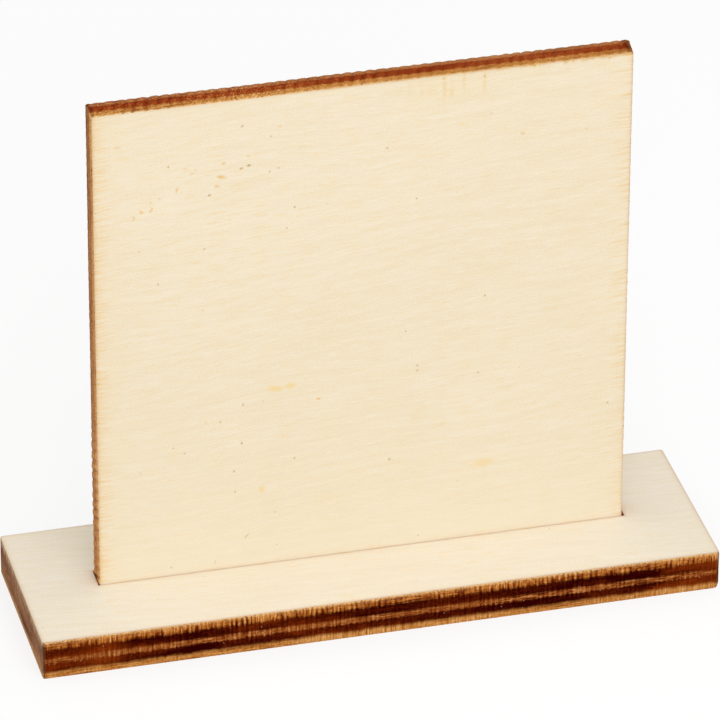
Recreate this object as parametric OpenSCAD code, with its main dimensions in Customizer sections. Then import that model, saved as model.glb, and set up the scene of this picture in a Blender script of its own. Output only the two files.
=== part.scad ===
/* [Base] */
// Length of the base, along the panel
base_length = 85; // [75:0.5:160]
// Depth of the base, front to back
base_depth = 25.1; // [14:0.1:60]
// Radius at the base's four upright corners
base_corner_radius = 0.35; // [0.1:0.05:3]

/* [Base plies] */
// Thickness of the face veneer on top
base_top_thickness = 1.1; // [0.5:0.05:2]
// Thickness of the crossband under the top veneer
base_upper_band_thickness = 1.2; // [0.5:0.05:2]
// Thickness of the middle veneer
base_core_thickness = 0.75; // [0.5:0.05:2]
// Thickness of the crossband over the bottom veneer
base_lower_band_thickness = 1.05; // [0.5:0.05:2]
// Thickness of the face veneer underneath
base_bottom_thickness = 1; // [0.5:0.05:2]

/* [Panel] */
// Width of the upright panel
panel_width = 66.2; // [20:0.2:70]
// Height of the panel, from the table to its top edge
panel_height = 70.1; // [30:0.1:140]
// Radius at the panel's four corners
panel_corner_radius = 0.3; // [0.1:0.05:3]

/* [Panel plies] */
// Thickness of the veneer on the panel's front
panel_front_thickness = 1.05; // [0.5:0.05:2]
// Thickness of the panel's crossband
panel_core_thickness = 1.35; // [0.5:0.05:2]
// Thickness of the veneer on the panel's back
panel_back_thickness = 0.95; // [0.5:0.05:2]

/* [Slot] */
// How far the panel's middle lies right of the base's middle
panel_offset_x = 0.1; // [-1:0.05:1]
// How far the panel's middle lies behind the base's middle
panel_offset_y = 0.25; // [-3:0.05:3]
// Gap between the panel's front and back and the slot's long walls
side_clearance = 0.06; // [0.03:0.01:0.3]
// Gap between the panel's left edge and the slot's end
left_clearance = 0.15; // [0.05:0.05:1]
// Gap between the panel's right edge and the slot's end
right_clearance = 0.35; // [0.05:0.05:1]

/* [Hidden] */
$fn = 48;
// How far the slot's cutter runs past the faces that it cuts
overrun = 1;

// The base's plies lie on each other, from the table up
base_lower_band_z = base_bottom_thickness;
base_core_z = base_lower_band_z + base_lower_band_thickness;
base_upper_band_z = base_core_z + base_core_thickness;
base_top_z = base_upper_band_z + base_upper_band_thickness;

// The panel's plies stand behind each other, from its front face back
panel_thickness = panel_front_thickness + panel_core_thickness + panel_back_thickness;
panel_left_x = panel_offset_x - panel_width / 2;
panel_front_y = panel_offset_y - panel_thickness / 2;
panel_core_y = panel_front_y + panel_front_thickness;
panel_back_y = panel_core_y + panel_core_thickness;

// The slot goes right through the base, so the panel stands on the table
slot_left_x = panel_left_x - left_clearance;
slot_length = left_clearance + panel_width + right_clearance;
slot_front_y = panel_front_y - side_clearance;
slot_width = panel_thickness + 2 * side_clearance;

// Sheet outline with rounded corners, from the origin to its far corner
module sheet_outline(length, width, radius) {
    translate([radius, 0])
        square([length - 2 * radius, width]);
    translate([0, radius])
        square([length, width - 2 * radius]);
    for (x = [radius, length - radius])
        for (y = [radius, width - radius])
            translate([x, y])
                circle(r = radius);
}

// One ply of the base: the outline less the slot
module base_ply(bottom_z, thickness) {
    difference() {
        translate([-base_length / 2, -base_depth / 2, bottom_z])
            linear_extrude(height = thickness)
                sheet_outline(base_length, base_depth, base_corner_radius);
        translate([slot_left_x, slot_front_y, bottom_z - overrun])
            cube([slot_length, slot_width, thickness + 2 * overrun]);
    }
}

// One ply of the panel: the outline stood upright on the table
module panel_ply(front_y, thickness) {
    translate([panel_left_x, front_y + thickness, 0])
        rotate([90, 0, 0])
            linear_extrude(height = thickness)
                sheet_outline(panel_width, panel_height, panel_corner_radius);
}

// Face veneer underneath, with its grain along the base
module base_bottom_veneer() {
    color("tan")
        base_ply(0, base_bottom_thickness);
}

// Crossband over the bottom veneer, with its grain front to back
module base_lower_crossband() {
    color("saddlebrown")
        base_ply(base_lower_band_z, base_lower_band_thickness);
}

// Middle veneer, with its grain along the base
module base_core_veneer() {
    color("peru")
        base_ply(base_core_z, base_core_thickness);
}

// Crossband under the top veneer, with its grain front to back
module base_upper_crossband() {
    color("saddlebrown")
        base_ply(base_upper_band_z, base_upper_band_thickness);
}

// Face veneer on top, with its grain along the base
module base_top_veneer() {
    color("antiquewhite")
        base_ply(base_top_z, base_top_thickness);
}

// Veneer that shows on the panel's front, with its grain across the panel
module panel_front_veneer() {
    color("antiquewhite")
        panel_ply(panel_front_y, panel_front_thickness);
}

// Crossband inside the panel, with its grain upright
module panel_crossband() {
    color("sienna")
        panel_ply(panel_core_y, panel_core_thickness);
}

// Veneer on the panel's back, with its grain across the panel
module panel_back_veneer() {
    color("wheat")
        panel_ply(panel_back_y, panel_back_thickness);
}

base_bottom_veneer();
base_lower_crossband();
base_core_veneer();
base_upper_crossband();
base_top_veneer();
panel_front_veneer();
panel_crossband();
panel_back_veneer();
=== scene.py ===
import math

import bmesh
import bpy
from mathutils import Matrix, Vector, noise


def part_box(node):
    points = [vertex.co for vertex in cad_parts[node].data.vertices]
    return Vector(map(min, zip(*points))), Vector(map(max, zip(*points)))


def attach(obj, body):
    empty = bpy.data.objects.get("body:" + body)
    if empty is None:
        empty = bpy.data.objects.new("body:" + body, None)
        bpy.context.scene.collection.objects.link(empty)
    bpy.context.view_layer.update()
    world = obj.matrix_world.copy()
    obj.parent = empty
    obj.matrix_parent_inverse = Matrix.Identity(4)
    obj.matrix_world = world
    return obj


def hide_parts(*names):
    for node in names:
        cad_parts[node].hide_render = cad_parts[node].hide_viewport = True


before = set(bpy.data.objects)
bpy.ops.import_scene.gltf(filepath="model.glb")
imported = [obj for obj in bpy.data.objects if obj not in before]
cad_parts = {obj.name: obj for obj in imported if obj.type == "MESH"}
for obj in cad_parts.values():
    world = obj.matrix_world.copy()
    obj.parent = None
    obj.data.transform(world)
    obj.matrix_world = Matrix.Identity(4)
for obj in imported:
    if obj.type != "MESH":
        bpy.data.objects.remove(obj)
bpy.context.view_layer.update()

mm = 0.001


def tone(red, green, blue):  # a colour as it looks on screen, made linear
    parts = []
    for value in (red, green, blue):
        share = value / 255
        parts.append(share / 12.92 if share < 0.04045 else ((share + 0.055) / 1.055) ** 2.4)
    return (*parts, 1.0)


def grey(level):  # already linear
    return (level, level, level, 1.0)


def shades(*colours, first=0.1, last=0.9):  # a ramp's stops, evenly spaced from dark to light
    step = (last - first) / (len(colours) - 1)
    return [(first + step * index, tone(*colour)) for index, colour in enumerate(colours)]


# Camera and light

cameraLook = {
    'azimuth': -14.411,         # degrees round from straight in front
    'elevation': 30.603,        # degrees above the table
    'roll': 0.205,              # degrees that the camera leans to its left
    'distance': 864 * mm,       # from the point that it looks at
    'aimAcross': 0.112 * mm,    # where the middle of the picture lies, from the origin
    'aimUp': 27.055 * mm,
    'lens': 350.2,              # millimetres
}


def addCamera(look):
    turn = math.radians(look['azimuth'])
    rise = math.radians(look['elevation'])
    roll = math.radians(look['roll'])
    back = Vector((math.sin(turn) * math.cos(rise), -math.cos(turn) * math.cos(rise), math.sin(rise)))
    level = Vector((math.cos(turn), math.sin(turn), 0))
    upright = back.cross(level)
    across = level * math.cos(roll) + upright * math.sin(roll)
    up = upright * math.cos(roll) - level * math.sin(roll)
    camera = bpy.data.objects.new('camera', bpy.data.cameras.new('camera'))
    camera.data.lens = look['lens']
    bpy.context.scene.collection.objects.link(camera)
    camera.matrix_world = Matrix((across, up, back)).transposed().to_4x4()
    place = across * look['aimAcross'] + up * look['aimUp'] + back * look['distance']
    camera.matrix_world.translation = place
    bpy.context.scene.camera = camera


lightLook = {                   # places and sizes in metres, power in watts
    'front': {'place': (0, -0.75, 0.5), 'size': 0.8, 'power': 4.06},
    'overhead': {'place': (0, -0.1, 1.0), 'size': 1.2, 'power': 4.9},
    'aim': (0, 0, 0.03),
    'sky': 0.42,                # even light from all round
}


def addSoftBox(name, look, aim):
    lamp = bpy.data.lights.new(name, 'AREA')
    lamp.shape = 'SQUARE'
    lamp.size = look['size']
    lamp.energy = look['power']
    box = bpy.data.objects.new(name, lamp)
    bpy.context.scene.collection.objects.link(box)
    box.location = look['place']
    box.rotation_euler = (Vector(aim) - box.location).to_track_quat('-Z', 'Y').to_euler()


def addSky(look):
    world = bpy.data.worlds.new('studio')
    bpy.context.scene.world = world
    world.use_nodes = True
    tree = world.node_tree
    tree.nodes.clear()
    path = tree.nodes.new('ShaderNodeLightPath')
    lit = tree.nodes.new('ShaderNodeBackground')
    lit.inputs['Strength'].default_value = look['sky']
    seen = tree.nodes.new('ShaderNodeBackground')  # plain white to the camera
    mix = tree.nodes.new('ShaderNodeMixShader')
    out = tree.nodes.new('ShaderNodeOutputWorld')
    tree.links.new(path.outputs['Is Camera Ray'], mix.inputs[0])
    tree.links.new(lit.outputs[0], mix.inputs[1])
    tree.links.new(seen.outputs[0], mix.inputs[2])
    tree.links.new(mix.outputs[0], out.inputs['Surface'])
    for background in (lit, seen):
        background.inputs['Color'].default_value = grey(1)


# Shader maths: a Field is one value in a material, and sums of fields add their nodes

class Field:
    def __init__(self, shader, socket):
        self.shader = shader
        self.socket = socket

    def part(self, name):  # another output of the same node
        return Field(self.shader, self.socket.node.outputs[name])

    def __add__(self, other):
        return self.shader.maths('ADD', self, other)

    def __sub__(self, other):
        return self.shader.maths('SUBTRACT', self, other)

    def __rsub__(self, other):
        return self.shader.maths('SUBTRACT', other, self)

    def __mul__(self, other):
        return self.shader.maths('MULTIPLY', self, other)

    def __truediv__(self, other):
        return self.shader.maths('DIVIDE', self, other)

    __radd__ = __add__
    __rmul__ = __mul__


class Shader:
    def __init__(self, name):
        self.material = bpy.data.materials.new(name)
        self.material.use_nodes = True
        self.tree = self.material.node_tree
        self.surface = self.tree.nodes['Principled BSDF']
        self.place = self.node('ShaderNodeTexCoord', output='Object')  # metres, but x, y and z are mm
        inMm = self.node('ShaderNodeVectorMath', {'operation': 'SCALE'}, {0: self.place, 'Scale': 1 / mm})
        self.x = self.node('ShaderNodeSeparateXYZ', inputs={0: inMm})
        self.y = self.x.part('Y')
        self.z = self.x.part('Z')

    def node(self, kind, settings=None, inputs=None, output=0):
        new = self.tree.nodes.new(kind)
        for key, value in (settings or {}).items():
            if key == 'stops':
                self.setStops(new.color_ramp, value)
            else:
                setattr(new, key, value)
        for key, value in (inputs or {}).items():
            if isinstance(value, Field):
                self.tree.links.new(value.socket, new.inputs[key])
            else:
                new.inputs[key].default_value = value
        return Field(self, new.outputs[output])

    def setStops(self, ramp, stops):
        while len(ramp.elements) < len(stops):
            ramp.elements.new(1.0)
        for element, (place, colour) in zip(ramp.elements, stops):
            element.position = place
            element.color = colour

    def maths(self, operation, first, second=0.0):
        return self.node('ShaderNodeMath', {'operation': operation}, {0: first, 1: second})

    def attribute(self, name):  # a value that the mesh carries at each vertex
        return self.node('ShaderNodeAttribute', {'attribute_name': name}, output='Fac')

    def size(self, value):  # without its sign
        return self.maths('ABSOLUTE', value)

    def least(self, first, second):
        return self.maths('MINIMUM', first, second)

    def most(self, first, second):
        return self.maths('MAXIMUM', first, second)

    def joined(self, x, y, z):
        return self.node('ShaderNodeCombineXYZ', inputs={'X': x, 'Y': y, 'Z': z})

    def ease(self, value, start, end):  # 0 before the start, 1 past the end, smooth between
        return self.node('ShaderNodeMapRange', {'interpolation_type': 'SMOOTHSTEP'},
                         {0: value, 1: start, 2: end})

    def fade(self, distance, reach):  # 1 at no distance, falling away over the reach
        return self.maths('EXPONENT', distance * (-1 / reach))

    def blend(self, share, first, second):
        return self.node('ShaderNodeMix', {'data_type': 'RGBA'}, {0: share, 6: first, 7: second}, output=2)

    def ramp(self, value, stops):
        return self.node('ShaderNodeValToRGB', {'stops': stops}, {0: value})

    def noise(self, x, y, z, detail=2.0, roughness=0.5):
        return self.node('ShaderNodeTexNoise', inputs={'Vector': self.joined(x, y, z), 'Scale': 1.0,
                                                       'Detail': detail, 'Roughness': roughness})

    def cells(self, x, y):  # distance to the nearest of many scattered points, and a colour drawn for each
        return self.node('ShaderNodeTexVoronoi', {'voronoi_dimensions': '2D'},
                         {'Vector': self.joined(x, y, 0.0), 'Scale': 1.0})

    def drawn(self, cell):
        return self.node('ShaderNodeSeparateColor', inputs={0: cell.part('Color')})

    def finish(self, colour, roughness, relief, look):
        bump = self.node('ShaderNodeBump', inputs={'Strength': look['bumpStrength'],
                                                   'Distance': look['bumpDepth'], 'Height': relief})
        self.tree.links.new(colour.socket, self.surface.inputs['Base Color'])
        self.tree.links.new(roughness.socket, self.surface.inputs['Roughness'])
        self.tree.links.new(bump.socket, self.surface.inputs['Normal'])
        self.surface.inputs['Specular IOR Level'].default_value = look['gloss']
        return self.material


# Pale sheet faces

faceLook = {
    'deep': tone(239, 222, 188),
    'mid': tone(243, 228, 199),
    'pale': tone(246, 233, 208),
    'shadeStops': (0.34, 0.5, 0.66),
    'shadeShares': (0.35, 0.25, 0.4),   # how much veins, clouds and pores each decide
    'bright': tone(250, 241, 226),      # fibres that catch the light
    'brightShare': 0.45,
    'brightSpan': (0.48, 0.76),         # from where they start to show to where they are full
    'warm': tone(240, 208, 140),        # and resinous ones
    'warmShare': 0.41,
    'warmSpan': (0.5, 0.76),
    'patchShares': (0.15, 0.17),        # clouds bring out the resinous ones, and pores the bright ones
    'patchShift': 0.01,
    'halo': tone(238, 188, 95),         # scorch that fades into the face, and painted shade on the panel at the base top's level
    'haloShare': 0.8,
    'scorchAndShadeTone': tone(170, 98, 44),         # scorch right at the cut, and painted shade on the panel at the base top's level
    'burntShares': (1.5, 0.5),          # how much fibres and pores break it up
    'cutReach': 0.13,
    'lean': 0.065,                      # the grain climbs this much for each millimetre to the right
    'wander': 3.0,                      # and drifts this far off straight, in millimetres
    # noises: how many per millimetre along and across the grain, what keeps them apart, detail, roughness
    'drift': (0.03, 0.045, 0, 1.0, 0.5),
    'fibre': (0.4, 5.8, 0, 3.0, 0.55),
    'resin': (0.36, 4.6, 17, 3.0, 0.55),
    'vein': (0.1, 1.3, 3, 2.0, 0.5),
    'cloud': (0.035, 0.045, 7, 2.0, 0.5),
    'pore': (4.5, 4.5, 13, 1.0, 0.5),
    'speck': tone(206, 172, 120),
    'speckShare': 0.75,
    'speckSpacing': 8.0,
    'speckSize': 0.2,                   # radius of the largest
    'speckCore': 0.5,                   # the part of a speck that is full
    'speckSpan': (0.35, 0.4),           # below and above this draw, a place has none or one
    'speckThins': 0.008,                # how much fewer there are for each millimetre to the right
    'roughness': (0.62, 0.12),          # everywhere, and more on the fibres
    'bumpShares': (0.7, 0.3),           # fibres and resinous ones
    'bumpStrength': 0.5,
    'bumpDepth': 0.02 * mm,
    'gloss': 0.2,
}

baseFaceLook = dict(faceLook, deep=tone(235, 224, 200), mid=tone(240, 230, 211), pale=tone(244, 236, 220),
                    cutReach=0.18, lean=-0.08, speckSize=0.14)


def veneerFace(name, across, edges, marksAndShade, look, seed):  # across is the axis across the grain
    shader = Shader(name)
    line = getattr(shader, across)

    def grainNoise(kind, position):
        along, deep, apart, detail, roughness = look[kind]
        return shader.noise(shader.x * along, position * deep, seed + apart, detail, roughness)

    drift = grainNoise('drift', line) - 0.5
    grain = line - shader.x * look['lean'] + drift * look['wander']
    fibre = grainNoise('fibre', grain)
    resin = grainNoise('resin', grain)
    vein = grainNoise('vein', grain)
    cloud = grainNoise('cloud', line)
    pore = grainNoise('pore', line)
    veins, clouds, pores = look['shadeShares']
    shade = vein * veins + cloud * clouds + pore * pores
    colour = shader.ramp(shade, list(zip(look['shadeStops'], (look['deep'], look['mid'], look['pale']))))
    clouds, pores = look['patchShares']
    patch = cloud * clouds - pore * pores + look['patchShift']
    warm = shader.ease(resin + patch, *look['warmSpan'])
    colour = shader.blend(warm * look['warmShare'], colour, look['warm'])
    bright = shader.ease(fibre - patch, *look['brightSpan'])
    colour = shader.blend(bright * look['brightShare'], colour, look['bright'])
    colour = shader.blend(faceSpecks(shader, line, seed, look), colour, look['speck'])
    # on the panel's front: its marks, and painted shade that makes it cooler towards the slot
    colour = marksAndShade(shader, colour)
    near = 0.0  # burnt right at the cuts, and painted shade on the panel at the base top's level
    far = 0.0   # and their halo
    fibres, pores = look['burntShares']
    teeth = fibre * fibres + pore * pores
    for distance, cutScorchAndShade, haloScorchAndShade, reach, streaky in edges(shader):
        near = shader.fade(distance, look['cutReach']) * teeth * cutScorchAndShade + near
        tongues = shader.most((resin - 0.5) * streaky + look['haloShare'], 0.0)
        far = shader.fade(distance, reach) * tongues * haloScorchAndShade + far
    colour = shader.blend(shader.least(far, 1.0), colour, look['halo'])
    colour = shader.blend(shader.least(near, 1.0), colour, look['scorchAndShadeTone'])
    plain, more = look['roughness']
    fibres, resins = look['bumpShares']
    return shader.finish(colour, fibre * more + plain, fibre * fibres + resin * resins, look)


def faceSpecks(shader, line, seed, look):
    spacing = look['speckSpacing']
    cell = shader.cells(shader.x / spacing + seed, line / spacing)
    draw = shader.drawn(cell)
    radius = draw * (look['speckSize'] / spacing)
    share = shader.ease(draw.part('Green') - shader.x * look['speckThins'], *look['speckSpan'])
    return (1 - shader.ease(cell, radius * look['speckCore'], radius)) * share * look['speckShare']


def noMarks(shader, colour):
    return colour


panelMarksAndShade = {                  # places are millimetres from the panel's top left corner, right and down
    'stains': (                 # place, half width and height, turn in degrees, share of the stain's colour
        ((22.1, 40.3), (1.25, 0.6), -6, 0.48),
        ((24.0, 40.2), (1.0, 0.55), 8, 0.5),
        ((48.2, 54.6), (1.9, 0.8), 0, 0.42),
        ((20.4, 54.3), (0.5, 0.6), 0, 0.5),
        ((23.1, 47.1), (0.7, 0.4), 0, 0.16),
        ((29.0, 57.0), (4.0, 1.4), -4, 0.07),
        ((40.2, 10.6), (1.4, 0.4), 4, 0.14),
        ((43.0, 2.0), (7.0, 2.6), -3, 0.08),
        ((45.1, 7.0), (0.5, 0.2), 0, 0.45),
        ((27.2, 8.6), (0.5, 0.3), 0, 0.2),
        ((3.6, 6.2), (1.2, 0.5), 0, 0.14),
        ((56.1, 60.5), (0.6, 0.4), 0, 0.16),
    ),
    'flecks': (
        ((15.6, 10.2), (0.75, 0.32), -14, 0.75),
        ((15.1, 11.4), (0.42, 0.25), 20, 0.6),
        ((15.9, 8.4), (0.34, 0.24), 35, 0.6),
        ((10.2, 11.3), (0.22, 0.4), -20, 0.6),
        ((7.1, 13.5), (0.2, 0.5), -18, 0.65),
        ((5.9, 13.7), (0.36, 0.25), -40, 0.65),
        ((4.9, 14.4), (0.18, 0.42), 0, 0.5),
        ((7.0, 12.6), (0.22, 0.2), 0, 0.45),
        ((8.1, 12.2), (0.24, 0.2), 0, 0.45),
        ((11.2, 8.5), (0.3, 0.2), 0, 0.4),
        ((12.1, 9.3), (0.34, 0.22), 0, 0.4),
        ((18.9, 7.8), (0.34, 0.24), -30, 0.45),
        ((22.8, 4.3), (0.35, 0.2), 0, 0.45),
        ((3.1, 4.6), (0.5, 0.2), 0, 0.4),
        ((27.5, 42.5), (0.32, 0.2), 0, 0.75),
        ((52.6, 9.2), (0.36, 0.3), 0, 0.55),
        ((13.5, 43.9), (0.26, 0.2), 0, 0.4),
        ((60.5, 9.6), (0.3, 0.2), 0, 0.4),
    ),
    'dots': (
        ((18.2, 3.7), (0.24, 0.18), 0, 0.7),
        ((19.0, 9.1), (0.34, 0.2), 15, 0.8),
        ((18.05, 9.4), (0.3, 0.2), 35, 0.8),
        ((18.45, 60.7), (0.5, 0.14), 42, 0.65),
        ((14.2, 12.5), (0.22, 0.2), 0, 0.7),
        ((21.5, 10.3), (0.18, 0.16), 0, 0.6),
        ((21.7, 5.5), (0.16, 0.14), 0, 0.6),
        ((9.2, 8.0), (0.18, 0.18), 0, 0.65),
        ((13.5, 19.7), (0.2, 0.16), 0, 0.65),
        ((23.6, 18.2), (0.2, 0.14), 0, 0.6),
        ((7.8, 23.8), (0.17, 0.17), 0, 0.6),
        ((35.9, 9.0), (0.2, 0.17), 0, 0.65),
        ((17.9, 47.4), (0.2, 0.2), 0, 0.7),
        ((10.8, 47.8), (0.17, 0.17), 0, 0.6),
        ((9.4, 46.8), (0.16, 0.16), 0, 0.6),
        ((17.0, 54.2), (0.16, 0.18), 0, 0.6),
        ((36.4, 52.4), (0.2, 0.17), 0, 0.65),
        ((18.1, 42.0), (0.18, 0.18), 0, 0.6),
        ((39.8, 39.6), (0.16, 0.15), 0, 0.6),
        ((14.5, 63.9), (0.1, 0.4), 0, 0.5),
        ((42.8, 0.5), (0.16, 0.2), 0, 0.6),
        ((47.8, 0.8), (0.18, 0.2), 0, 0.55),
        ((48.7, 6.0), (0.16, 0.15), 0, 0.4),
    ),
    'streaks': (                # scuffs across the grain below the top edge
        ((38.6, 1.6), (0.42, 1.5), 0, 0.22),
        ((40.1, 1.7), (0.32, 1.8), 0, 0.2),
        ((41.4, 2.0), (0.8, 1.3), 0, 0.2),
        ((42.9, 1.7), (0.34, 2.4), 0, 0.42),
        ((43.8, 2.2), (0.45, 1.7), 0, 0.3),
        ((45.3, 1.0), (0.3, 2.0), 0, 0.44),
        ((47.8, 1.5), (0.3, 2.4), 0, 0.42),
    ),
    'kinds': {                  # the colour of each, and the part of a mark that is full
        'stains': (tone(244, 206, 102), 0.2),
        'flecks': (tone(238, 190, 108), 0.35),
        'dots': (tone(198, 156, 92), 0.3),
        'streaks': (tone(238, 196, 110), 0.1),
    },
    'rim': 1.15,                # where a mark ends, in half widths and heights
    'ragged': 0.35,             # how far a mark's outline strays, in millimetres
    'raggedPerMm': 2.2,
    'breaks': (0.9, 3.4, 53.0),  # noise that breaks the streaks up: per millimetre across and up, seed
    'breakSpan': (0.33, 0.58),
    'foot': tone(236, 231, 214),  # painted shade: the face is painted a little cooler towards the slot, against the warm light bounced up from the base
    'footPaintedShadeShare': 0.5,
    'footPaintedShadeReach': 6.0,
}


def frontMarksAndShade(shader, colour, look=panelMarksAndShade):
    low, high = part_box('panel_front_veneer')
    left, top = low.x / mm, high.z / mm
    stray = shader.node('ShaderNodeTexNoise', output='Color',
                        inputs={'Vector': shader.place, 'Scale': look['raggedPerMm'] / mm, 'Detail': 1.0})
    sway = shader.node('ShaderNodeVectorMath', {'operation': 'SUBTRACT'}, {0: stray, 1: (0.5, 0.5, 0.5)})
    ragged = shader.node('ShaderNodeVectorMath', {'operation': 'MULTIPLY_ADD'},
                         {0: sway, 1: (look['ragged'] * mm,) * 3, 2: shader.place})
    across, up, seed = look['breaks']
    broken = shader.ease(shader.noise(shader.x * across, shader.z * up, seed), *look['breakSpan'])
    for kind, (hue, core) in look['kinds'].items():
        scuffs = kind == 'streaks'
        where = shader.place if scuffs else ragged
        for (right, down), half, turn, share in look[kind]:
            out = oval(shader, where, (left + right, top - down), half, turn)
            mask = 1 - shader.ease(out, core, look['rim'])
            if scuffs:
                mask = mask * broken
            colour = shader.blend(mask * share, colour, hue)
    # painted shade: cooler towards the base top, offsetting the warm light that the base throws back onto
    # the face
    foot = shader.size(shader.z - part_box('base_top_veneer')[1].z / mm)
    return shader.blend(shader.fade(foot, look['footPaintedShadeReach']) * look['footPaintedShadeShare'], colour, look['foot'])


def oval(shader, place, centre, half, turn):  # 0 in the middle of an upright oval, 1 on its rim
    local = shader.node('ShaderNodeMapping', {'vector_type': 'TEXTURE'},
                        {'Vector': place, 'Location': (centre[0] * mm, 0, centre[1] * mm),
                         'Rotation': (0, math.radians(-turn), 0), 'Scale': (half[0] * mm, 1, half[1] * mm)})
    return shader.node('ShaderNodeVectorMath', {'operation': 'LENGTH'}, {0: local}, output='Value')


# Burnt cut edges, whose bands are the plies

charred = shades((46, 0, 0), (73, 17, 1), (106, 35, 3), (126, 49, 8), (144, 66, 21))
amber = shades((90, 30, 5), (132, 60, 16), (169, 95, 35), (196, 124, 54), (222, 160, 92))
toffee = shades((78, 27, 6), (118, 52, 14), (146, 77, 31), (172, 104, 51), (200, 140, 82))
honey = shades((130, 64, 22), (168, 100, 40), (196, 130, 62), (214, 154, 88), (230, 182, 120))
russet = shades((84, 22, 4), (116, 38, 10), (140, 57, 22), (164, 82, 36), (200, 130, 69))
cinnamon = shades((94, 50, 26), (134, 77, 41), (167, 104, 60), (190, 129, 80), (216, 167, 116))
tan = shades((118, 54, 20), (150, 86, 36), (180, 115, 53), (202, 138, 70), (228, 178, 112))
umber = shades((98, 58, 36), (134, 87, 59), (160, 111, 80), (180, 131, 95), (200, 151, 112))
driftwood = shades((128, 92, 66), (158, 122, 94), (184, 148, 120), (202, 168, 140), (218, 188, 162))
chestnut = shades((134, 76, 40), (172, 112, 64), (199, 136, 82), (216, 156, 98), (236, 184, 126))
biscuit = shades((160, 96, 52), (206, 140, 82), (234, 166, 104), (244, 184, 120), (250, 204, 142))
walnut = shades((104, 58, 32), (154, 98, 60), (196, 134, 86), (218, 156, 104), (238, 184, 130))
hazel = shades((138, 84, 48), (180, 124, 77), (212, 156, 103), (226, 173, 117), (240, 194, 136))

# Each band has a palette for the long edges and one for the left and right ends, and the weights of the drag
# lines, fine lines, fibres, pores and clouds in its shade. In millimetres, over moves its border with the
# band before it, jag and wave make that stray with the drag lines and in slow waves, and soft blurs it.

baseBands = (  # from the table up
    {'node': 'base_bottom_veneer', 'long': honey, 'end': hazel, 'weights': (0.15, 0.7, 0.6, 0.6, 0.4)},
    {'node': 'base_lower_crossband', 'long': charred, 'end': umber, 'weights': (0.2, 0.3, 0.2, 0.5, 1.0),
     'over': -0.16, 'jag': 0.05, 'wave': 0.55, 'soft': 0.65},
    {'node': 'base_core_veneer', 'long': toffee, 'end': umber, 'weights': (0.4, 0.6, 1.0, 0.6, 0.2),
     'over': 0.0, 'jag': 0.15, 'wave': 0.3, 'soft': 0.33},
    {'node': 'base_upper_crossband', 'long': charred, 'end': umber, 'weights': (0.2, 0.3, 0.2, 0.5, 1.0),
     'over': -0.06, 'jag': -0.15, 'wave': 0.3, 'soft': 0.45},
    {'node': 'base_top_veneer', 'long': amber, 'end': driftwood, 'weights': (0.7, 1.15, 0.6, 0.5, 0.4),
     'over': 0.08, 'jag': 0.15, 'wave': 0.4, 'soft': 0.6},
)

panelBands = (  # from the front back; upward is how much darker a band is at the top of the sides
    {'node': 'panel_front_veneer', 'long': tan, 'end': biscuit, 'weights': (0.3, 0.7, 0.9, 0.9, 0.7)},
    {'node': 'panel_crossband', 'long': russet, 'end': chestnut, 'weights': (0.6, 0.6, 0.2, 0.6, 0.6),
     'over': 0.12, 'jag': 0.1, 'wave': 0.5, 'soft': 0.4, 'upward': 0.08},
    {'node': 'panel_back_veneer', 'long': cinnamon, 'end': walnut, 'weights': (0.5, 0.6, 0.5, 0.7, 0.4),
     'over': 0.15, 'jag': 0.1, 'wave': 0.4, 'soft': 0.35, 'upward': 0.15},
)

edgeLook = {
    # noises: how many per millimetre along the edge and through the sheet, what keeps them apart, detail,
    # roughness
    'fine': (5.0, 0.45, 0, 1.0, 0.55),
    'fibre': (0.6, 7.0, 9, 1.0, 0.55),
    'pore': (3.6, 3.6, 18, 1.0, 0.55),
    'cloud': (0.12, 0.5, 27, 1.0, 0.55),
    'wave': (0.9, 0.5, 70, 2.0, 0.6),
    'fineGroups': 3.5,          # how much the clouds gather the fine lines
    'fibreGroups': 5.0,         # and leave bare fibres between them
    'fray': 0.25,               # how much pores fray the borders of the bands
    'lag': 0.0,                 # how far the beam trails for each millimetre of depth
    'endLag': 0.0,              # and on the left and right ends
    'paler': (),                # where the char changes: from, to, and how much lighter it gets
    'palerStray': (3.0, 4.0),   # how far pores and clouds move that, in millimetres
    'tips': None,               # char towards both ends of the long edges: from, to, how much
    'calmer': None,             # where the texture grows weaker to the right: from, to, how much
    'drips': None,              # the veneer that char runs up into
    'upwardSpan': (20, 68),     # between these heights the ends grow darker, by a band's upward
    'rim': 0.0,                 # the level of a paler line along the sheet's face
    'rimTone': tone(242, 200, 136),
    'rimReach': 0.16,
    'rimShares': (3.0, 0.9),    # how patchy it is, and how strong
    'corner': tone(34, 12, 4),
    'cornerShare': 0.75,
    'cornerSpan': (0.3, 1.2),
    'chips': (),                # paler worn spots: middle, half width and height, turn, share
    'chip': tone(222, 178, 118),
    'chipFray': 2.0,
    'chipSpan': (0.3, 1.2),
    'glint': tone(226, 196, 160),
    'glintShare': 0.5,
    'glintSpacing': 2.5,
    'glintSize': (0.01, 0.035),  # where a glint starts to fade and where it ends, in spacings
    'glintSpan': (0.75, 0.8),   # below and above this draw, a place has none or one
    'roughness': (0.7, 0.2),    # everywhere, and more in the pores
    'bumpShares': (0.5, 0.5),   # fine lines and pores
    'bumpStrength': 0.6,
    'bumpDepth': 0.03 * mm,
    'gloss': 0.01,
}


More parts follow.
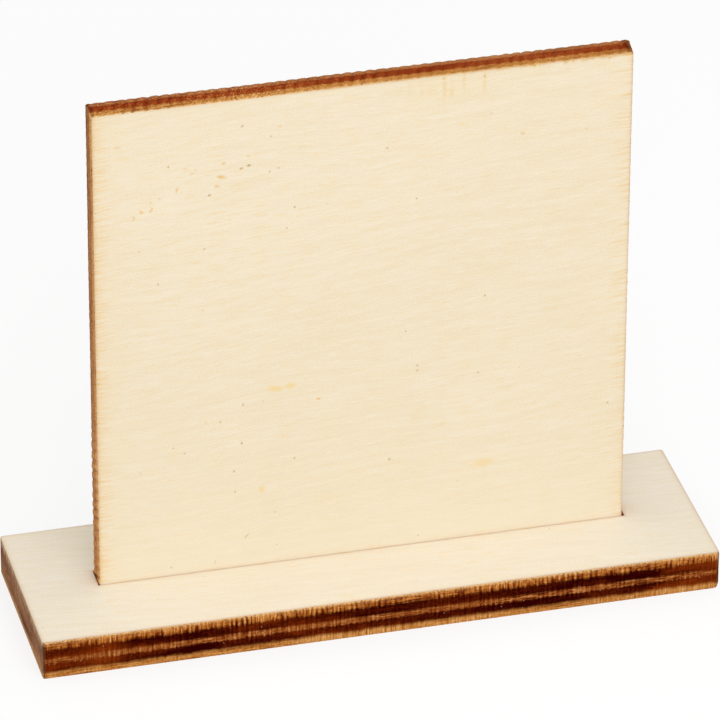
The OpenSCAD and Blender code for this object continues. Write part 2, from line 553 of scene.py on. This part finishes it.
def cutEdge(name, through, bands, look):  # through is the axis through the sheet
    shader = Shader(name)
    level = getattr(shader, through)
    other = shader.z if through == 'y' else shader.y
    drag = 0.5 - shader.attribute('burn')  # dark on the drag lines
    end = shader.attribute('side')  # 1 on the left and right ends
    u = shader.x - level * look['lag']
    v = other - level * look['endLag']

    def edgeNoise(kind):
        along, deep, apart, detail, roughness = look[kind]
        return shader.noise(u * along, v * along, level * deep + apart, detail, roughness) - 0.5

    fine, fibre, pore, cloud, wave = map(edgeNoise, ('fine', 'fibre', 'pore', 'cloud', 'wave'))
    if look['calmer']:
        start, stop, change = look['calmer']
        keep = 1 - shader.ease(shader.x, start, stop) * (1 - end) * change
        drag, fine, fibre, pore = (field * keep for field in (drag, fine, fibre, pore))
    grouped = fine * (cloud * look['fineGroups'] + 1)
    bare = fibre * (1 - cloud * look['fibreGroups'])
    pores, clouds = look['palerStray']
    paler = 0.0
    for start, stop, change in look['paler']:
        paler = shader.ease(shader.x + pore * pores + cloud * clouds, start, stop) * change + paler
    colour = None
    for band in bands:
        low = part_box(band['node'])[0]
        border = (low.y if through == 'y' else low.z) / mm + band.get('over', 0)
        shade = 0.5
        for field, weight in zip((drag, grouped, bare, pore, cloud), band['weights']):
            shade = field * weight + shade
        if band['long'] is charred:
            shade = shade + paler
        if band['node'] == look['drips']:
            shade = shade - drips(shader, u, v, level - border)
        own = bandColour(shader, band, shade, end, look)
        if colour is None:
            colour = own
        else:
            rise = level + drag * band['jag'] + wave * band['wave'] + pore * look['fray']
            half = band['soft'] / 2
            colour = shader.blend(shader.ease(rise, border - half, border + half), colour, own)
    colour = edgeWear(shader, colour, (u, v, level), end, pore, look)
    plain, more = look['roughness']
    fines, pores = look['bumpShares']
    return shader.finish(colour, pore * more + plain, fine * fines + pore * pores, look)


def bandColour(shader, band, shade, end, look):  # shade goes from 0, darkest, to 1, palest
    longShade = shade
    endShade = shade
    if look['tips']:
        start, stop, change = look['tips']
        longShade = shade - shader.ease(shader.size(shader.x), start, stop) * change
    if 'upward' in band:
        endShade = shade - shader.ease(shader.z, *look['upwardSpan']) * band['upward']
    return shader.blend(end, shader.ramp(longShade, band['long']), shader.ramp(endShade, band['end']))


dripLook = {                    # runs of char that climb from a crossband into the veneer above it
    'detail': 1.0,
    'perMm': 1.9,
    'seed': 31.0,
    'span': (0.5, 0.62),        # from where a run starts to show to where it is full
    'reachPerMm': 0.7,
    'reachSeed': 35.0,
    'reach': 2.0,               # how far the longest climb, in millimetres
    'reachLess': 0.4,
    'core': 0.4,                # the part of its height where a run is full
    'share': 0.3,
}


def drips(shader, u, v, rise, look=dripLook):  # how much they darken what lies this far above the crossband
    often, slowly = look['perMm'], look['reachPerMm']
    run = shader.noise(u * often, v * often, look['seed'], look['detail'])
    swing = shader.noise(u * slowly, v * slowly, look['reachSeed'], look['detail'])
    reach = swing * look['reach'] - look['reachLess']
    height = 1 - shader.ease(rise, reach * look['core'], reach)
    return shader.ease(run, *look['span']) * height * look['share']


def edgeWear(shader, colour, place, end, pore, look):  # the rim's pale line, corners, chips and glints
    u, v, level = place
    patchy, plain = look['rimShares']
    rim = shader.fade(shader.size(level - look['rim']), look['rimReach']) * (pore * patchy + plain)
    colour = shader.blend(shader.least(rim, 1.0), colour, look['rimTone'])
    corner = end * (1 - end) * 4  # 1 half way round a corner
    corner = shader.ease(corner + pore, *look['cornerSpan'])
    colour = shader.blend(corner * look['cornerShare'], colour, look['corner'])
    for middle, half, turn, share in look['chips']:
        out = oval(shader, shader.place, middle, half, turn) + pore * look['chipFray']
        chip = 1 - shader.ease(out, *look['chipSpan'])
        colour = shader.blend(chip * share, colour, look['chip'])
    spacing = look['glintSpacing']
    cell = shader.cells((u + v) / spacing, level / spacing)
    glint = (1 - shader.ease(cell, *look['glintSize'])) * shader.ease(shader.drawn(cell), *look['glintSpan'])
    return shader.blend(glint * look['glintShare'], colour, look['glint'])


# Ply shapes

plyLook = {
    'pitch': 0.1 * mm,          # between the vertices along a cut edge
    'baseCorner': 0.35 * mm,
    'panelCorner': 0.3 * mm,
    'slotCorner': 0.1 * mm,
    'cornerSteps': 5,
    'slotPitch': 0.25 * mm,
    'slotInset': 1 * mm,        # what lies this far inside a base ply's outline belongs to its slot
    'rows': 7,                  # strips through each ply's thickness
    'onCut': 0.001 * mm,        # how near a cut between rows a vertex counts as on it
    'wallSlant': 0.5,           # a face is a wall if its normal points less than this along the sheet's
}

baseWalls = {                   # how the beam marked the base's cut edges; lengths in millimetres
    'pitch': 0.62,              # between the beam's drag lines
    'wander': 0.5,              # how far the pitch strays, in pitches
    'wanderPerPitch': 0.4,      # and how quickly
    'lag': 0.0,                 # how far they lean for each millimetre through the sheet
    'endLag': 0.0,              # and on the left and right ends
    'endShare': 0.7,            # how strong they are there
    'even': 0.3,                # share of the marks that keep to the pitch
    'rough': 0.75,              # and of those that don't
    'roughPerMm': (3.0, 0.6),   # along the edge and through the sheet
    'roughSeed': 9,
    'usual': 0.6,               # how strong the marks are on average
    'group': 1.4,               # and how far that swings between groups of them
    'groupPerMm': 0.15,
    'groupSeed': 20,
    'calm': 0.2,                # least strength
    'groove': 0.06,             # depth of the deepest mark
    'wobble': 0.05,             # slow swell of the whole edge
    'wobblePerMm': 0.07,
    'proud': 0.06,              # so that the rough walls lie on the plate's outline on average
    'slotShare': 0.25,          # how much of this roughness the slot's walls have
    'snug': 0.04,               # and how far they stand in towards the panel
    'fades': None,              # where the marks grow weaker along the plate: from, to
    'fadeFrom': 1.5,            # their strength before that
    'fadeBy': 1.1,              # and what they lose
    'bite': 0.0,                # how much deeper the top edge is burnt before they fade
    'flare': 0.0,               # how far the right side leans out for each millimetre back, at the top
    'worn': {'node': 'base_bottom_veneer', 'corner': (1, 0, 0), 'reach': 0.9, 'depth': 0.3},
    'rimRound': 0.03,           # how far the free rims are rounded off
    'rimShare': 0.12,           # over this share of the ply's thickness
}

panelWalls = dict(baseWalls, pitch=1.38, wander=0.35, lag=0.3, endLag=-0.5, endShare=0.3, even=0.65,
                  rough=0.5, calm=0.5, groove=0.28, proud=0.125, fades=(-14, -4), bite=0.08, flare=0.14,
                  worn=None)


def clamped(value):  # to between 0 and 1
    return min(1, max(0, value))


def laserMark(along, deep, side, seed, walls):  # how deep the beam has burnt, 0 to 1
    run = along - deep * (walls['lag'] * (1 - side) + walls['endLag'] * side)
    stray = noise.noise(Vector((run * walls['wanderPerPitch'] / walls['pitch'], seed, 0)))
    beat = 1 - 2 * abs(math.sin(math.pi * (run / walls['pitch'] + walls['wander'] * stray)))
    roughAlong, roughDeep = walls['roughPerMm']
    rough = noise.noise(Vector((run * roughAlong, deep * roughDeep, seed + walls['roughSeed'])))
    group = noise.noise(Vector((run * walls['groupPerMm'], seed + walls['groupSeed'], 0)))
    strength = min(1, max(walls['calm'], walls['usual'] + walls['group'] * group))
    if walls['fades']:
        start, stop = walls['fades']
        strength *= walls['fadeFrom'] - walls['fadeBy'] * clamped((along - start) / (stop - start))
    strength *= 1 - side * (1 - walls['endShare'])
    return clamped(0.5 + strength * (walls['even'] * beat + walls['rough'] * rough))


def outline(bm, low, high, radius, pitch, steps):  # adds the edges of an oblong with round corners
    before = set(bm.verts)
    bmesh.ops.create_grid(bm, x_segments=1, y_segments=1, size=0.5)  # a square of side 1
    corners = [vert for vert in bm.verts if vert not in before]
    bmesh.ops.scale(bm, vec=(high[0] - low[0], high[1] - low[1], 1), verts=corners)
    bmesh.ops.translate(bm, vec=((low[0] + high[0]) / 2, (low[1] + high[1]) / 2, 0), verts=corners)
    bmesh.ops.bevel(bm, geom=corners, offset=radius, segments=steps, profile=0.5, affect='VERTICES',
                    material=-1)
    bmesh.ops.delete(bm, geom=bm.faces[:], context='FACES_ONLY')
    for edge in [edge for edge in bm.edges if edge.verts[0] not in before]:
        cuts = round(edge.calc_length() / pitch) - 1
        if cuts > 0:
            bmesh.ops.subdivide_edges(bm, edges=[edge], cuts=cuts)


def slotOf(node):  # the hole's corners, from the CAD ply's vertices that lie inside its outline
    low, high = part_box(node)
    inset = plyLook['slotInset']
    inner = [vert.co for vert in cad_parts[node].data.vertices
             if low.x + inset < vert.co.x < high.x - inset and low.y + inset < vert.co.y < high.y - inset]
    return ((min(co.x for co in inner), min(co.y for co in inner)),
            (max(co.x for co in inner), max(co.y for co in inner)))


def plyBlank(node, upright, look):  # the plain sheet, cut into strips through its thickness
    low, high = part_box(node)
    thickness = high.y - low.y if upright else high.z - low.z
    steps = look['cornerSteps']
    bm = bmesh.new()
    if upright:
        outline(bm, (low.x, low.z), (high.x, high.z), look['panelCorner'], look['pitch'], steps)
        turn = Matrix.Translation((0, high.y, 0)) @ Matrix.Rotation(math.radians(90), 4, 'X')
    else:
        outline(bm, low.xy, high.xy, look['baseCorner'], look['pitch'], steps)
        slotLow, slotHigh = slotOf(node)
        outline(bm, slotLow, slotHigh, look['slotCorner'], look['slotPitch'], steps)
        turn = Matrix.Translation((0, 0, low.z))
    bmesh.ops.triangle_fill(bm, use_beauty=True, use_dissolve=False, edges=bm.edges[:])
    bmesh.ops.recalc_face_normals(bm, faces=bm.faces[:])
    grown = bmesh.ops.extrude_face_region(bm, geom=bm.faces[:])['geom']
    top = [item for item in grown if isinstance(item, bmesh.types.BMVert)]
    bmesh.ops.translate(bm, vec=(0, 0, thickness), verts=top)
    for row in range(1, look['rows']):
        bmesh.ops.bisect_plane(bm, geom=bm.verts[:] + bm.edges[:] + bm.faces[:], dist=look['onCut'],
                               plane_co=(0, 0, thickness * row / look['rows']), plane_no=(0, 0, 1))
    bmesh.ops.transform(bm, matrix=turn, verts=bm.verts[:])
    bmesh.ops.recalc_face_normals(bm, faces=bm.faces[:])
    bm.normal_update()
    return bm, thickness


def isWall(face, axis):
    return abs(face.normal.dot(axis)) < plyLook['wallSlant']


def wallNormals(bm, axis):  # which way the cut edge faces at each of its vertices
    outward = {}
    for vert in bm.verts:
        normal = Vector()
        for face in vert.link_faces:
            if isWall(face, axis):
                normal += face.normal
        if normal.length > 0:
            outward[vert] = normal.normalized()
    return outward


def boxCorner(node, ends):  # 0 for the low end and 1 for the high one, along x, y and z
    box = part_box(node)
    return Vector([box[end][index] for index, end in enumerate(ends)]) / mm


def scorchWalls(bm, low, high, axis, thickness, walls, rims):  # burns the drag lines into the cut edges
    burnLayer = bm.verts.layers.float.new('burn')
    sideLayer = bm.verts.layers.float.new('side')
    lowest, highest = low / mm, high / mm
    inset = plyLook['slotInset'] / mm
    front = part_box('panel_front_veneer')[0].y / mm
    worn = walls['worn']
    wornSpot = boxCorner(worn['node'], worn['corner']) if worn else None
    for vert, normal in wallNormals(bm, axis).items():
        place = vert.co / mm
        along = place.x + (place.y if axis.z else place.z)
        side = abs(normal.x)
        seed = round(2 * side) + 3 * (normal.x + normal.y + normal.z > 0)  # every side has its own marks
        burn = laserMark(along, place.dot(axis), side, seed, walls)
        swell = 0.5 + 0.5 * noise.noise(place * walls['wobblePerMm'])
        depth = walls['groove'] * burn + walls['wobble'] * swell
        share = (vert.co - low).dot(axis) / thickness
        for end in rims:
            depth += walls['rimRound'] * max(0, 1 - abs(share - end) / walls['rimShare']) ** 2
        if walls['fades']:
            start, stop = walls['fades']
            depth += walls['bite'] * max(0, normal.z) * clamped((stop - place.x) / (stop - start))
        inside = min(place.x - lowest.x, highest.x - place.x, place.y - lowest.y, highest.y - place.y)
        if axis.z and inside > inset:
            depth = depth * walls['slotShare'] - walls['snug']
        else:
            rubbed = 0
            if worn:
                rubbed = worn['depth'] * max(0, 1 - (place - wornSpot).length / worn['reach']) ** 2
            depth += rubbed - walls['proud']
        if normal.z < 0:
            depth = max(depth, 0)  # the foot stands on the table
        vert[burnLayer] = burn
        vert[sideLayer] = side
        vert.co -= normal * depth * mm
        lean = walls['flare'] * max(0, normal.x) * (place.y - front)
        vert.co.x += lean * max(0, place.z / highest.z) ** 2 * mm


def addPly(name, node, body, shows, walls, materials, look=plyLook):
    upright = walls is panelWalls
    axis = Vector((0, 1, 0)) if upright else Vector((0, 0, 1))
    bm, thickness = plyBlank(node, upright, look)
    rims = {-1: (0,), 0: (), 1: (1,)}[shows]  # the end of its thickness where the ply has a free rim
    scorchWalls(bm, *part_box(node), axis, thickness, walls, rims)
    for face in bm.faces:
        face.smooth = isWall(face, axis)
        face.material_index = 0 if face.normal.dot(axis) * shows > look['wallSlant'] else 1
    for edge in bm.edges:
        edge.smooth = len({isWall(face, axis) for face in edge.link_faces}) == 1  # sharp at the rims
    mesh = bpy.data.meshes.new(name)
    bm.to_mesh(mesh)
    bm.free()
    for material in materials:
        mesh.materials.append(material)
    piece = bpy.data.objects.new(name, mesh)
    bpy.context.scene.collection.objects.link(piece)
    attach(piece, body)
    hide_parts(node)
    print('ply', name, len(mesh.polygons), 'faces')


def outsideGap(shader, value, low, high):  # how far a value lies outside a span
    middle = (low + high) / 2
    return shader.most(shader.size(value - middle) - (high - low) / 2, 0.0)


baseScorch = {                  # for each edge: scorch at the cut, halo, its reach, and how streaky it is
    'left': (0.4, 0.1, 0.6, 5),
    'right': (0.5, 0.12, 0.6, 5),
    'front': (0.8, 0.12, 0.5, 5),
    'back': (0.35, 0.1, 0.5, 5),
    'slot': (0.24, 0.15, 0.3, 5),
}


def baseEdges(shader, look=baseScorch):
    low, high = (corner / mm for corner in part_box('base_top_veneer'))
    slotLow, slotHigh = slotOf('base_top_veneer')
    across = outsideGap(shader, shader.x, slotLow[0] / mm, slotHigh[0] / mm)
    along = outsideGap(shader, shader.y, slotLow[1] / mm, slotHigh[1] / mm)
    gaps = {
        'left': shader.x - low.x,
        'right': high.x - shader.x,
        'front': shader.y - low.y,
        'back': high.y - shader.y,
        'slot': shader.maths('SQRT', across * across + along * along),
    }
    return [(gap, *look[edge]) for edge, gap in gaps.items()]


panelScorch = {                 # and the same for the panel
    'left': (0.6, 0.5, 1.1, 5),
    'right': (0.8, 0.18, 1.5, 14),
    'top': (0.45, 0.12, 0.4, 5),
    'bottom': (0.5, 0.2, 0.6, 5),
    'torn': (0.1, 0.75, 0.1, 3),
    'slot': (0.18, 0.16, 0.4, 5),   # painted shade on the panel's face at the base top's level, where it stands in the slot
}

tearLook = {                    # how far down the top edge is torn
    'perMm': 0.45,
    'seed': 60.0,
    'detail': (3.0, 0.6),       # and roughness
    'whole': 0.46,              # where the noise is below this, nothing is torn
    'depth': 3.5,               # millimetres for each 1 above it
    'span': (14, 21),           # from nothing to full, to the right
}


def panelEdges(shader, look=panelScorch, tear=tearLook):
    low, high = (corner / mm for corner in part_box('panel_front_veneer'))
    ragged = shader.noise(shader.x * tear['perMm'], 0.0, tear['seed'], *tear['detail'])
    torn = shader.most(ragged - tear['whole'], 0.0) * tear['depth'] * shader.ease(shader.x, *tear['span'])
    gaps = {
        'left': shader.x - low.x,
        'right': high.x - shader.x,
        'top': high.z - shader.z,
        'bottom': shader.z - low.z,
        'torn': shader.most(high.z - shader.z - torn, 0.0),
        # painted shade along the line where the panel meets the base top
        'slot': shader.size(shader.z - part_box('base_top_veneer')[1].z / mm),
    }
    return [(gap, *look[edge]) for edge, gap in gaps.items()]


baseEdgeLook = dict(edgeLook, drips='base_top_veneer', rim=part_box('base_top_veneer')[1].z / mm,
                    paler=((-34.0, -31.5, -0.24), (33.2, 35.2, 0.24)),
                    chips=(((39.3, 0.4), (2.6, 0.25), 0, 0.2),))

panelEdgeLook = dict(edgeLook, lag=panelWalls['lag'], endLag=panelWalls['endLag'],
                     rim=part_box('panel_front_veneer')[0].y / mm, tips=(32.2, 33.0, 0.35),
                     calmer=(-22, 10, 0.5), corner=tone(92, 48, 28), cornerShare=0.7)

basePlies = (                   # piece, node, material slot, and which face shows: -1 low, 1 high, 0 neither
    ('baseBottomVeneer', 'base_bottom_veneer', 'face_veneer', -1),
    ('baseLowerCrossband', 'base_lower_crossband', 'crossband', 0),
    ('baseCoreVeneer', 'base_core_veneer', 'core_veneer', 0),
    ('baseUpperCrossband', 'base_upper_crossband', 'crossband', 0),
    ('baseTopVeneer', 'base_top_veneer', 'face_veneer', 1),
)

panelPlies = (
    ('panelFrontVeneer', 'panel_front_veneer', 'face_veneer', -1),
    ('panelCrossband', 'panel_crossband', 'crossband', 0),
    ('panelBackVeneer', 'panel_back_veneer', 'face_veneer', 1),
)


def addPlies():
    baseFace = veneerFace('baseFace', 'y', baseEdges, noMarks, baseFaceLook, seed=2.0)
    panelFront = veneerFace('panelFrontFace', 'z', panelEdges, frontMarksAndShade, faceLook, seed=5.0)
    panelBack = veneerFace('panelBackFace', 'z', panelEdges, noMarks, faceLook, seed=9.0)
    baseEdge = cutEdge('baseCutEdge', 'z', baseBands, baseEdgeLook)
    panelEdge = cutEdge('panelCutEdge', 'y', panelBands, panelEdgeLook)
    print('materials made')
    for name, node, slot, shows in basePlies:
        addPly(name, node, 'base', shows, baseWalls, (baseFace, baseEdge))
    for name, node, slot, shows in panelPlies:
        face = panelBack if shows > 0 else panelFront
        addPly(name, node, 'panel', shows, panelWalls, (face, panelEdge))


# Table

tableLook = {
    'size': 2.0,                # from its middle to its edges, in metres
    'drop': 0.02 * mm,          # so that it doesn't share a plane with the base's underside
    'lit': 0.72,                # how much light it throws back
    'seen': 0.99,               # how pale it looks to the camera
    'glow': 0.75,               # share of plain white in it there
    'clear': (0.14, 0.35),      # between these distances, in metres, it turns plain white to the camera
}


def addTable(look):
    shader = Shader('table')
    seen = shader.node('ShaderNodeLightPath', output='Is Camera Ray')
    paper = shader.blend(seen, grey(look['lit']), grey(look['seen']))
    diffuse = shader.node('ShaderNodeBsdfDiffuse', inputs={'Color': paper})
    white = shader.node('ShaderNodeEmission')  # its own white, at a strength of 1
    distance = shader.maths('SQRT', shader.x * shader.x + shader.y * shader.y)
    start, stop = look['clear']
    clear = shader.ease(distance, start / mm, stop / mm)
    share = (clear * (1 - look['glow']) + look['glow']) * seen
    mixed = shader.node('ShaderNodeMixShader', inputs={0: share, 1: diffuse, 2: white})
    shader.tree.links.new(mixed.socket, shader.tree.nodes['Material Output'].inputs['Surface'])
    bm = bmesh.new()
    bmesh.ops.create_grid(bm, x_segments=1, y_segments=1, size=look['size'])
    bmesh.ops.translate(bm, vec=(0, 0, -look['drop']), verts=bm.verts[:])
    mesh = bpy.data.meshes.new('table')
    bm.to_mesh(mesh)
    bm.free()
    mesh.materials.append(shader.material)
    table = bpy.data.objects.new('table', mesh)
    bpy.context.scene.collection.objects.link(table)


addCamera(cameraLook)
addSoftBox('frontBox', lightLook['front'], lightLook['aim'])
addSoftBox('overheadBox', lightLook['overhead'], lightLook['aim'])
addSky(lightLook)
print('camera and light placed')
addPlies()
addTable(tableLook)
print('table laid')
bpy.context.scene.view_settings.view_transform = 'Standard'
